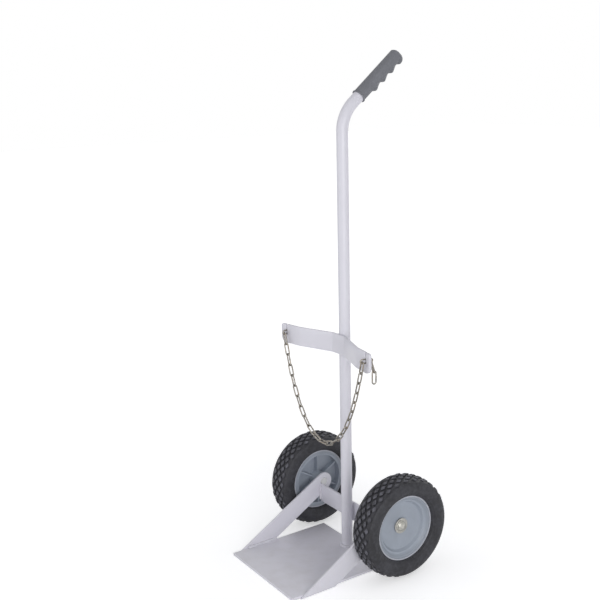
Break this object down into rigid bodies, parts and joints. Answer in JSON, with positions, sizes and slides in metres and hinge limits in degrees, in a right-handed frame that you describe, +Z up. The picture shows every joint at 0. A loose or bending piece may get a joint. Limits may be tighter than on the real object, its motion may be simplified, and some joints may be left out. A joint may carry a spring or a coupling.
{
  "type": "gas cylinder trolley",
  "caption": "Upright gas cylinder hand trolley: a bent tube handle with a ridged grip, toe plate, braced wheels with rubber tyres, and a slotted saddle with a retaining chain.",
  "frame": {"origin": "on the floor, on the underside of the toe plate, under the axis of the load that stands on it", "axes": "+Z up along the tube, +Y to the back where the handle points, +X to the right-hand wheel seen from behind"},
  "size_m": [0.3334, 0.3376, 0.9675],
  "materials": {
    "paint": "powder coat, satin",
    "grip_vinyl": "matte, fine grain",
    "tyre_rubber": "matte",
    "hub_plastic": "satin",
    "cap_plate": "yellow passivated",
    "bush_nylon": "satin",
    "steel": "turned",
    "zinc": "zinc plated, dulled"
  },
  "bodies": {
    "frame": {"main_tube": "paint", "hand_grip": "grip_vinyl", "toe_plate": "paint", "brace_right": "paint", "brace_left": "paint", "cross_bar": "paint", "saddle": "paint", "weld_tube_foot": "paint", "weld_saddle": "paint", "weld_cross_bar": "paint", "weld_brace_right": "paint", "weld_brace_left": "paint", "stub_axle_right": "steel", "washer_inner_right": "zinc", "washer_outer_right": "zinc", "axle_cap_right": "cap_plate", "chain_anchor_right": "zinc", "stub_axle_left": "steel", "washer_inner_left": "zinc", "washer_outer_left": "zinc", "axle_cap_left": "cap_plate", "chain_anchor_left": "zinc"},
    "wheel_right": {"tyre_right": "tyre_rubber", "hub_right": "hub_plastic", "bush_inner_right": "bush_nylon", "bush_outer_right": "bush_nylon"},
    "wheel_left": {"tyre_left": "tyre_rubber", "hub_left": "hub_plastic", "bush_inner_left": "bush_nylon", "bush_outer_left": "bush_nylon"},
    "chain_loop": {"chain_loop": "zinc"},
    "chain_tail": {"chain_tail": "zinc"},
    "keeper_ring": {"keeper_ring": "zinc"}
  },
  "joints": [
    {"name": "wheel_right_spin", "type": "hinge", "parent": "frame", "child": "wheel_right", "pos_m": [0.1397, 0.148, 0.098], "axis": [1, 0, 0], "continuous": true},
    {"name": "wheel_left_spin", "type": "hinge", "parent": "frame", "child": "wheel_left", "pos_m": [-0.1397, 0.148, 0.098], "axis": [1, 0, 0], "continuous": true},
    {"name": "chain_loop_swing", "type": "hinge", "parent": "frame", "child": "chain_loop", "pos_m": [0, 0.07323, 0.42843], "axis": [-1, 0, 0], "range_deg": [-5, 90]},
    {"name": "chain_tail_swing", "type": "hinge", "parent": "frame", "child": "chain_tail", "pos_m": [0.12949, 0.08977, 0.42852], "axis": [0.9842, -0.1772, 0], "range_deg": [0, 64]},
    {"name": "keeper_ring_swing", "type": "hinge", "parent": "frame", "child": "keeper_ring", "pos_m": [-0.12949, 0.08977, 0.42862], "axis": [0.9842, 0.1772, 0], "range_deg": [-5, 80]}
  ]
}
